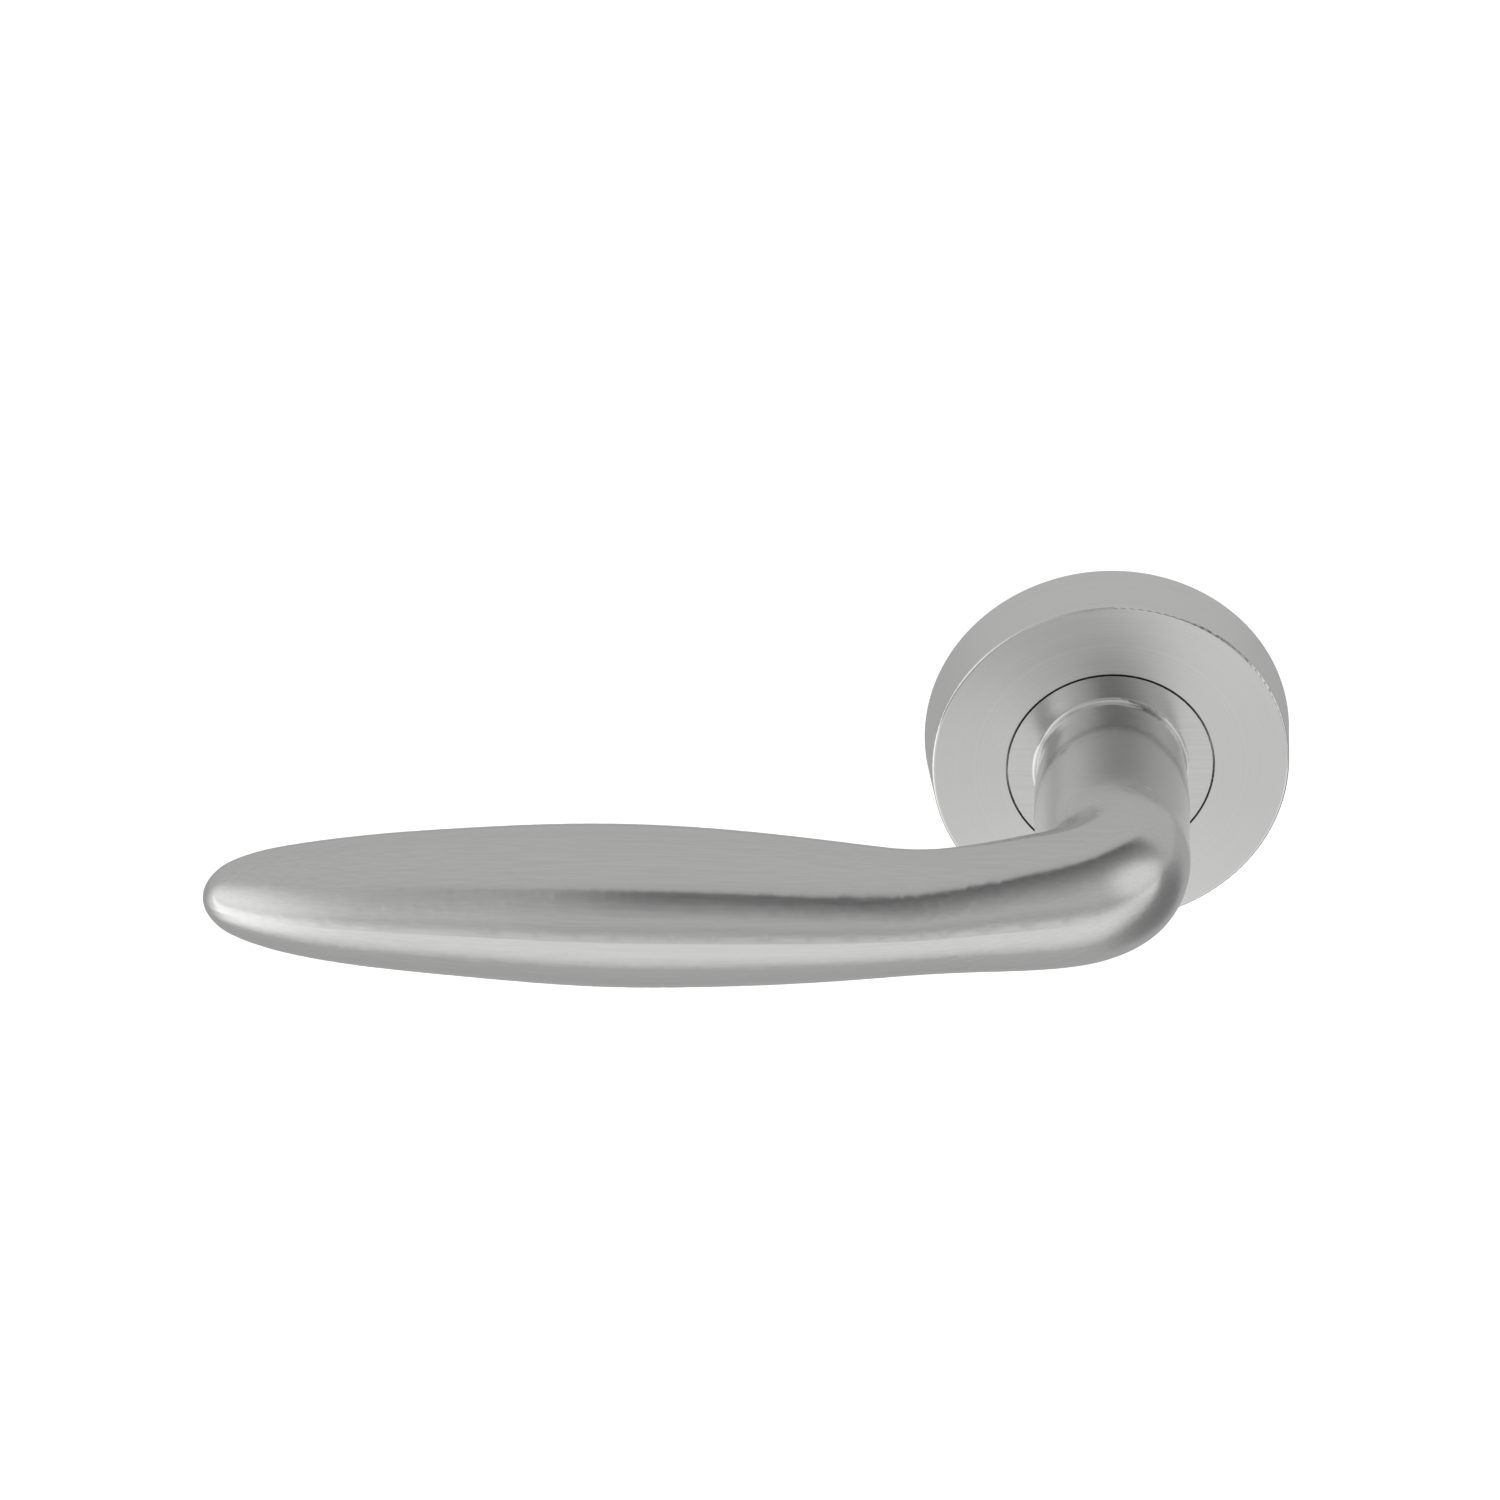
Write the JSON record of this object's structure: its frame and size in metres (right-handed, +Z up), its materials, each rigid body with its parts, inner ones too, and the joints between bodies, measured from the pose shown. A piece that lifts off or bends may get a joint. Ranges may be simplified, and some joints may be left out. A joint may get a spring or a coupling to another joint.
{
  "type": "door lever handle",
  "caption": "Door lever handle: a bulged rounded grip on a round neck, turning in a flat round sprung rose, satin stainless steel.",
  "frame": {"origin": "centre of the rose's rear face, which lies on the door, on the spindle's axis", "axes": "+Z up, +Y into the door along the spindle, -Y out towards the user, and the grip runs to -X"},
  "size_m": [0.1484, 0.0982, 0.052],
  "materials": {
    "satin_stainless": "satin brushed stainless steel",
    "zinc_plate": "bright zinc plated steel",
    "spring_steel": "plain rolled spring steel",
    "acetal": "natural white acetal",
    "black_rubber": "moulded nitrile rubber",
    "black_oxide": "black oxide steel"
  },
  "bodies": {
    "rose": {"rose_cover": "satin_stainless", "cover_ring": "black_rubber", "mounting_plate": "zinc_plate", "fixing_screws": "zinc_plate", "spring_housing": "zinc_plate", "housing_screws": "zinc_plate", "stop_pins": "zinc_plate", "front_bush": "acetal", "rear_bush": "acetal", "return_spring": "spring_steel"},
    "handle": {"lever": "satin_stainless", "drive_cam": "zinc_plate", "spring_peg": "zinc_plate", "spring_washer": "spring_steel", "circlip": "spring_steel", "spindle": "zinc_plate", "grub_screw": "black_oxide"}
  },
  "joints": [
    {"name": "lever_turn", "type": "hinge", "parent": "rose", "child": "handle", "pos_m": [0, 0, 0], "axis": [0, -1, 0], "range_deg": [0, 45], "stiffness_Nm_per_rad": 0.147, "springref_deg": -110.01, "deforming": ["return_spring"]}
  ]
}
